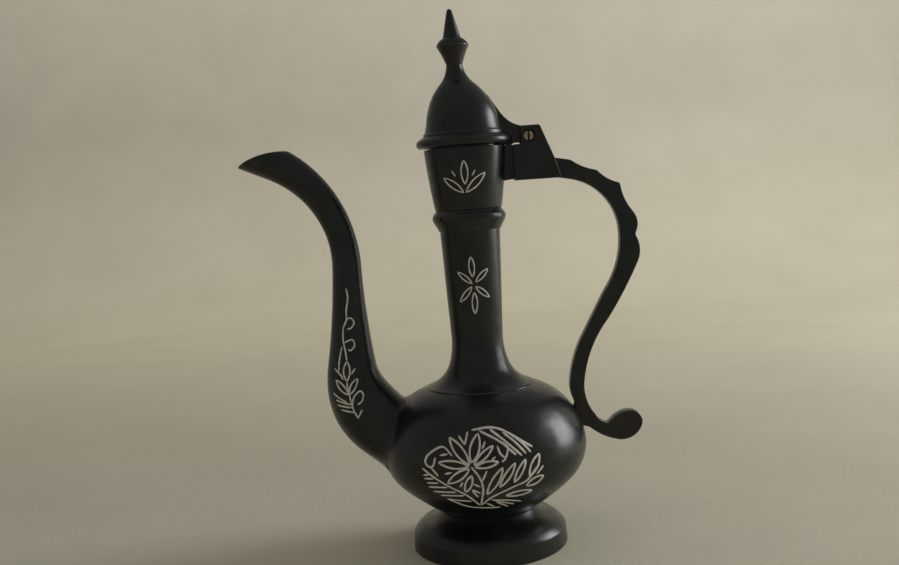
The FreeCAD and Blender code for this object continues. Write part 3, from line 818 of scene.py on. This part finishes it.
cup_sprig = threads(
    "cup_sprig",
    leaf((-1.2, 172.6), (-1.2, 183.6), 1.5)
    + leaf((-2.0, 168.9), (-10.8, 176.2), 1.35)
    + leaf((-1.1, 168.9), (8.2, 177.5), 1.5)
    + [through((-7.0, 179.2), (-5.3, 176.4)), through((3.7, 178.9), (2.1, 176.3))],
    lay_on_turned(cup_at),
    0.64,
)
neck_flower = threads(
    "neck_flower",
    leaf((-0.6, 129.8), (-0.9, 139.5), 1.25)
    + leaf((0.6, 127.4), (6.7, 133.4), 1.05)
    + leaf((0.4, 125.6), (6.7, 119.9), 1.05)
    + leaf((-0.2, 122.9), (-0.5, 112.6), 1.2)
    + leaf((-1.2, 125.6), (-7.1, 118.3), 1.05)
    + leaf((-0.9, 126.8), (-7.4, 132.6), 1.0),
    lay_on_turned(neck_at),
    0.64,
)
spout_vine = threads(
    "spout_vine",
    leaf((-2.0, 49.2), (-1.3, 58.3), 1.5)
    + leaf((-2.6, 43.6), (-7.2, 50.4), 1.2)
    + leaf((-2.3, 43.4), (3.2, 49.9), 1.2)
    + [
        through(
            (-0.2, 92.2),
            (0.3, 87.6),
            (-0.6, 82.2),
            (-0.8, 77.7),
            (-2.4, 73.6),
            (-2.7, 68.2),
            (-2.0, 63.7),
            (-1.3, 58.3),
        ),
        through((-2.0, 74.5), (-0.4, 77.7), (1.4, 78.2), (2.7, 75.9), (1.2, 73.6), (-0.7, 73.2)),
        through((-2.4, 66.9), (1.4, 68.2), (2.5, 65.5), (0.8, 63.3), (-0.6, 63.7)),
        through((-3.4, 65.1), (-4.8, 59.6), (-5.6, 53.3)),
        through((-7.8, 55.1), (-4.5, 52.0), (-3.8, 50.2)),
        through((2.5, 55.1), (0.3, 52.0)),
        through((-2.0, 49.2), (-2.4, 45.6), (-2.4, 42.9), (-3.0, 39.3), (-3.4, 36.1), (-3.5, 32.5)),
        through((-10.1, 45.6), (-4.7, 40.7)),
        through((-9.6, 42.9), (-3.3, 39.3)),
        through((-9.8, 41.0), (-3.5, 38.0)),
        through((-8.9, 38.9), (-3.4, 35.7)),
        through((-3.4, 37.6), (-0.9, 41.6), (2.8, 43.6), (3.8, 41.4), (2.2, 38.8), (-0.4, 38.0)),
        through((0.4, 35.2), (-3.1, 33.0)),
    ],
    lay_on_spout,
    0.74,
)
bowl_medallion = threads(
    "bowl_medallion",
    leaf((-8.2, 51.2), (-16.3, 62.6), 1.9)
    + leaf((-7.4, 52.0), (-3.6, 64.0), 2.0)
    + leaf((-6.4, 51.0), (2.6, 58.8), 1.3)
    + leaf((-6.0, 50.2), (4.6, 51.8), 1.3)
    + leaf((-8.4, 50.6), (-21.9, 52.0), 1.6)
    + leaf((-8.4, 49.6), (-18.4, 42.6), 1.7)
    + leaf((-7.6, 46.6), (-10.8, 38.3), 1.4)
    + leaf((-1.5, 36.7), (6.1, 49.3), 1.6)
    + leaf((4.3, 40.0), (11.7, 50.7), 1.3)
    + leaf((10.7, 41.6), (16.4, 51.6), 1.2)
    + leaf((17.7, 43.4), (22.6, 53.0), 1.6)
    + leaf((16.0, 39.0), (24.2, 42.6), 1.5)
    + leaf((6.7, 35.2), (18.8, 36.0), 1.3)
    + [
        through((-0.8, 60.7), (-2.3, 57.6)),
        through((3.3, 54.2), (1.3, 52.6)),
        through((-21.0, 55.1), (-17.4, 55.8)),
        through((-19.5, 47.1), (-16.1, 47.9)),
        through((-11.6, 43.5), (-13.2, 40.9)),
        through((-12.2, 63.3), (-9.7, 59.6)),
        through((-8.1, 64.8), (-9.7, 59.6)),
        through((-7.6, 50.4), (-4.4, 45.6), (-3.0, 39.9), (-4.3, 30.6)),
        through((-0.9, 48.4), (-3.2, 43.7)),
        through((-7.1, 42.5), (-4.0, 40.9)),
        through((-7.8, 39.7), (-4.0, 37.6)),
        through((-7.9, 39.4), (-5.3, 35.4)),
        through((-4.4, 30.2), (1.2, 35.4), (10.2, 39.5), (16.3, 41.8), (21.4, 47.6)),
        through((21.0, 43.8), (24.2, 47.4)),
        through((0.3, 33.4), (7.0, 32.4), (13.9, 30.1)),
        through((1.6, 33.0), (10.6, 28.9)),
        through((2.4, 31.9), (7.8, 27.8)),
        through((-1.9, 31.4), (1.5, 29.0)),
        through((-19.1, 34.4), (-10.4, 29.6), (-4.3, 28.4), (4.5, 27.8)),
        through((-4.6, 30.2), (-10.1, 36.5), (-18.2, 41.4), (-24.2, 45.2), (-29.3, 49.0)),
        through((-29.1, 45.7), (-26.3, 46.3)),
        through((-28.8, 44.1), (-24.3, 44.5)),
        through((-27.7, 42.1), (-22.3, 42.6)),
        through((-27.0, 40.1), (-18.6, 40.7)),
        through((-25.0, 37.9), (-15.0, 38.3)),
        through((-21.9, 36.1), (-11.3, 36.5)),
        through((-19.1, 34.1), (-8.1, 33.0)),
        through((-25.6, 50.1), (-22.1, 45.8)),
        through(
            (-15.4, 54.9),
            (-19.5, 58.7),
            (-25.6, 55.5),
            (-27.6, 52.1),
            (-26.4, 50.0),
            (-24.3, 50.4),
            (-23.0, 54.2),
        ),
        through((-6.4, 65.3), (1.6, 65.9), (8.6, 63.7), (19.9, 56.1)),
        through((-3.1, 65.0), (5.3, 60.3), (12.3, 53.9)),
        through((1.6, 65.2), (8.2, 59.8), (14.8, 53.3)),
        through((7.1, 63.7), (12.4, 59.0), (16.8, 53.8)),
        through((10.2, 62.8), (15.2, 58.6), (19.0, 54.0)),
        through((4.3, 58.5), (5.4, 55.2), (7.6, 53.2)),
        through((5.7, 60.3), (8.8, 57.4), (7.6, 53.2), (5.8, 51.6)),
    ],
    lay_on_turned(bowl_at),
    0.9,
)


# Finishes


def node(tree, kind, settings=None, **inputs):
    """A shader node with its settings and its input values."""
    made = tree.nodes.new(kind)
    for key, value in (settings or {}).items():
        setattr(made, key, value)
    for key, value in inputs.items():
        made.inputs[key.replace("_", " ")].default_value = value
    return made


def mottle_group():
    """Slow patches, fine grain and a hand-beaten unevenness, all from object coordinates."""
    group = bpy.data.node_groups.new("hand_worked_surface", "ShaderNodeTree")
    group.interface.new_socket("Vector", in_out="INPUT", socket_type="NodeSocketVector")
    for name, value in (("Patch Scale", 60.0), ("Grain Scale", 1400.0)):
        socket = group.interface.new_socket(name, in_out="INPUT", socket_type="NodeSocketFloat")
        socket.default_value = value
    for name in ("Patches", "Grain", "Beaten"):
        group.interface.new_socket(name, in_out="OUTPUT", socket_type="NodeSocketFloat")
    link = group.links.new
    start, end = group.nodes.new("NodeGroupInput"), group.nodes.new("NodeGroupOutput")
    patches = node(group, "ShaderNodeTexNoise", Detail=5.0, Roughness=0.62)
    grain = node(group, "ShaderNodeTexNoise", Detail=3.0, Roughness=0.7)
    beaten = node(group, "ShaderNodeTexNoise", Scale=95.0, Detail=1.0)
    for texture in (patches, grain, beaten):
        link(start.outputs["Vector"], texture.inputs["Vector"])
    link(start.outputs["Patch Scale"], patches.inputs["Scale"])
    link(start.outputs["Grain Scale"], grain.inputs["Scale"])
    link(patches.outputs[0], end.inputs["Patches"])
    link(grain.outputs[0], end.inputs["Grain"])
    link(beaten.outputs[0], end.inputs["Beaten"])
    return group


MOTTLE = mottle_group()


def new_material(name):
    """A node material with its shader and output, and the worked surface on object coordinates."""
    material = bpy.data.materials.new(name)
    material.use_nodes = True
    tree = material.node_tree
    tree.nodes.clear()
    shader = tree.nodes.new("ShaderNodeBsdfPrincipled")
    output = tree.nodes.new("ShaderNodeOutputMaterial")
    tree.links.new(shader.outputs[0], output.inputs["Surface"])
    coordinates = tree.nodes.new("ShaderNodeTexCoord")
    surface = tree.nodes.new("ShaderNodeGroup")
    surface.node_tree = MOTTLE
    tree.links.new(coordinates.outputs["Object"], surface.inputs["Vector"])
    return material, tree, shader, surface


def blended(tree, share, low, high):
    """A colour mix whose share comes from a socket."""
    mix = node(tree, "ShaderNodeMix", {"data_type": "RGBA"})
    tree.links.new(share, mix.inputs["Factor"])
    for socket, colour in ((mix.inputs[6], low), (mix.inputs[7], high)):
        if isinstance(colour, tuple):
            socket.default_value = (*colour, 1)
        else:
            tree.links.new(colour, socket)
    return mix.outputs[2]


def ranged(tree, value, low, high, to_low, to_high):
    """A value mapped evenly from one range to another and clamped."""
    made = node(tree, "ShaderNodeMapRange", From_Min=low, From_Max=high, To_Min=to_low, To_Max=to_high)
    tree.links.new(value, made.inputs["Value"])
    return made.outputs["Result"]


def bumped(tree, shader, height, distance, strength):
    """Sends a height into the shader's normal."""
    bump = node(tree, "ShaderNodeBump", Distance=distance, Strength=strength)
    tree.links.new(height, bump.inputs["Height"])
    tree.links.new(bump.outputs["Normal"], shader.inputs["Normal"])


def black_lacquer():
    """Satin black over brass: mottled, softly uneven, and lighter on sharp edges, partly rubbed thin and
    partly a painted highlight.
    """
    material, tree, shader, surface = new_material("black_lacquer")
    surface.inputs["Patch Scale"].default_value = 85.0
    wear_and_painted_light = node(tree, "ShaderNodeAttribute", {"attribute_name": "wear_and_painted_light"})
    tone = ranged(tree, surface.outputs["Patches"], 0.36, 0.66, 0, 1)
    black = blended(tree, tone, (0.0036, 0.0046, 0.0040), (0.0165, 0.0200, 0.0150))
    wear_and_sheen = node(tree, "ShaderNodeMath", {"operation": "MULTIPLY"})
    tree.links.new(wear_and_painted_light.outputs["Fac"], wear_and_sheen.inputs[0])
    tree.links.new(ranged(tree, surface.outputs["Grain"], 0.35, 0.65, 0.15, 0.75), wear_and_sheen.inputs[1])
    # Marked edges turn a lighter grey-brown: partly metal showing where the black is rubbed thin, partly a
    # painted highlight along the ridges.
    colour = blended(tree, wear_and_sheen.outputs[0], black, (0.085, 0.080, 0.066))
    tree.links.new(colour, shader.inputs["Base Color"])
    tree.links.new(ranged(tree, surface.outputs["Patches"], 0.3, 0.7, 0.36, 0.23), shader.inputs["Roughness"])
    height = node(tree, "ShaderNodeMath", {"operation": "MULTIPLY_ADD"})
    height.inputs[1].default_value = 0.05
    tree.links.new(surface.outputs["Grain"], height.inputs[0])
    tree.links.new(surface.outputs["Beaten"], height.inputs[2])
    bumped(tree, shader, height.outputs[0], 0.0005, 0.45)
    shader.inputs["Specular IOR Level"].default_value = 0.5
    return material


def bright_cut_and_painted_glint():
    """Bright metal laid bare by the graver, pale and a little rosy, with dull specks, written near white as a
    painted glint of the cut facets.
    """
    material, tree, shader, surface = new_material("bright_cut_and_painted_glint")
    surface.inputs["Patch Scale"].default_value = 420.0
    tone = ranged(tree, surface.outputs["Patches"], 0.3, 0.7, 0, 1)
    # The pale metal is written brighter than the bare brass: a painted glint of the cut facets catching the
    # light.
    colour = blended(tree, tone, (0.78, 0.72, 0.63), (0.97, 0.93, 0.86))
    tree.links.new(colour, shader.inputs["Base Color"])
    tree.links.new(ranged(tree, surface.outputs["Grain"], 0.3, 0.7, 0.35, 0.6), shader.inputs["Roughness"])
    bumped(tree, shader, surface.outputs["Grain"], 0.00005, 0.5)
    shader.inputs["Metallic"].default_value = 0.0
    return material


def screw_brass():
    """Old brass, brighter where a driver has rubbed it, and painted near black in its slot and round its rim
    as the shade that lies there.
    """
    material, tree, shader, surface = new_material("screw_brass")
    surface.inputs["Patch Scale"].default_value = 900.0
    wear_and_painted_light = node(tree, "ShaderNodeAttribute", {"attribute_name": "wear_and_painted_light"})
    tone = ranged(tree, surface.outputs["Patches"], 0.38, 0.62, 0, 1)
    brass = blended(tree, tone, (0.28, 0.19, 0.10), (0.78, 0.62, 0.42))
    # Where the mark is 1 the brass turns near black: painted shade in the slot and painted shadow round the
    # head's rim.
    colour = blended(tree, wear_and_painted_light.outputs["Fac"], brass, (0.02, 0.014, 0.009))
    tree.links.new(colour, shader.inputs["Base Color"])
    tree.links.new(ranged(tree, surface.outputs["Grain"], 0.3, 0.7, 0.3, 0.5), shader.inputs["Roughness"])
    bumped(tree, shader, surface.outputs["Grain"], 0.00005, 0.5)
    shader.inputs["Metallic"].default_value = 0.55
    return material


def paper():
    """Plain pale paper, matt and a little cloudy, painted lighter and warmer where it lies flat and darker
    where it stands upright: painted light and shade on one sheet.
    """
    material, tree, shader, surface = new_material("pale_paper")
    surface.inputs["Patch Scale"].default_value = 9.0
    surface.inputs["Grain Scale"].default_value = 260.0
    tone = ranged(tree, surface.outputs["Patches"], 0.3, 0.7, 0, 1)
    # Flat and upright copies of one paper: the upright one is darker as painted shade, the flat one lighter
    # and warmer as painted light.
    flat = blended(tree, tone, (0.79, 0.735, 0.565), (0.85, 0.79, 0.615))
    upright = blended(tree, tone, (0.65, 0.615, 0.515), (0.71, 0.67, 0.565))
    height = node(tree, "ShaderNodeSeparateXYZ")
    tree.links.new(node(tree, "ShaderNodeTexCoord").outputs["Object"], height.inputs["Vector"])
    upright_shade_share = ranged(tree, height.outputs["Z"], 0.0, 0.3, 0, 1)
    tree.links.new(blended(tree, upright_shade_share, flat, upright), shader.inputs["Base Color"])
    bumped(tree, shader, surface.outputs["Grain"], 0.0006, 0.3)
    shader.inputs["Roughness"].default_value = 0.9
    shader.inputs["Specular IOR Level"].default_value = 0.1
    return material


LACQUER, CUT, BRASS = black_lacquer(), bright_cut_and_painted_glint(), screw_brass()

for piece, body, nodes in (
    (foot, "vessel", ["foot"]),
    (bowl, "vessel", ["bowl"]),
    (neck, "vessel", ["neck"]),
    (collar, "vessel", ["collar_ring"]),
    (cup, "vessel", ["mouth_cup"]),
    (spout, "vessel", ["spout"]),
    (handle, "vessel", ["handle"]),
    (bracket, "vessel", []),
    (lid, "lid", ["lid"]),
    (tongue, "lid", []),
    (finial, "lid", ["finial"]),
):
    piece.data.materials.clear()
    piece.data.materials.append(LACQUER)
    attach(piece, body)
    if nodes:
        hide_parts(*nodes)
for piece in (cup_sprig, neck_flower, spout_vine, bowl_medallion):
    piece.data.materials.append(CUT)
    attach(piece, "vessel")
screw.data.materials.append(BRASS)
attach(screw, "vessel")
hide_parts("hinge_screw")


# Floor, light and camera


def paper_sweep():
    """A sheet that lies flat under the object, turns up on a wide round and stands behind it."""
    rows = np.vstack(
        [
            edge_points((-1200, -0.2), (850, -0.2), 0, 50),
            edge_points((850, -0.2), (1150, 299.8), 300, 12),
            edge_points((1150, 299.8), (1150, 700), 0, 50),
            (1150, 700),
        ]
    )
    across = np.linspace(-1400, 1400, 30)
    places = np.stack(np.broadcast_arrays(across[None], rows[:, :1], rows[:, 1:]), -1).reshape(-1, 3)
    return new_object("paper_sweep", places, grid_faces(len(rows), len(across), False, False).tolist())


sweep = paper_sweep()
sweep.data.materials.append(paper())


def soft_lamp(name, place, target, size, power, colour):
    """A rectangular lamp that faces a target."""
    data = bpy.data.lights.new(name, "AREA")
    data.shape = "RECTANGLE"
    data.size, data.size_y = size
    data.energy = power
    data.color = colour
    lamp = bpy.data.objects.new(name, data)
    lamp.location = place
    lamp.rotation_euler = (Vector(target) - Vector(place)).to_track_quat("-Z", "Y").to_euler()
    bpy.context.scene.collection.objects.link(lamp)


soft_lamp(
    "window",
    place=(1.22, 0.26, 0.43),
    target=(0, 0, 0.12),
    size=(0.52, 0.74),
    power=9.0,
    colour=(0.94, 0.97, 1.0),
)
soft_lamp(
    "backdrop_lamp",
    place=(0.02, 0.62, 1.0),
    target=(0.02, 1.6, 0.58),
    size=(2.0, 0.35),
    power=3.9,
    colour=(1.0, 0.98, 0.94),
)

world = bpy.data.worlds.new("soft_room")
world.use_nodes = True
world.node_tree.nodes["Background"].inputs["Color"].default_value = (1.0, 0.98, 0.95, 1)
world.node_tree.nodes["Background"].inputs["Strength"].default_value = 0.22
bpy.context.scene.world = world


FOCAL_PIXELS = 1010
PHOTO_WIDTH_PIXELS = 899


def make_camera():
    """The photograph's view: level with the neck, tipped down 5.1 degrees and rolled 4."""
    data = bpy.data.cameras.new("camera")
    data.sensor_width = 36.0
    data.lens = data.sensor_width * FOCAL_PIXELS / PHOTO_WIDTH_PIXELS
    camera = bpy.data.objects.new("camera", data)
    tip, roll = math.radians(5.1), math.radians(4.0)
    ahead = Vector((0, math.cos(tip), -math.sin(tip)))
    up = Vector((0, math.sin(tip), math.cos(tip)))
    right = Vector((1, 0, 0))
    across = right * math.cos(roll) - up * math.sin(roll)
    above = right * math.sin(roll) + up * math.cos(roll)
    turn = Matrix((across, above, -ahead)).transposed()
    camera.matrix_world = Matrix.Translation((-0.0114, -0.4775, 0.1696)) @ turn.to_4x4()
    bpy.context.scene.collection.objects.link(camera)
    bpy.context.scene.camera = camera


make_camera()
bpy.context.scene.view_settings.view_transform = "Standard"
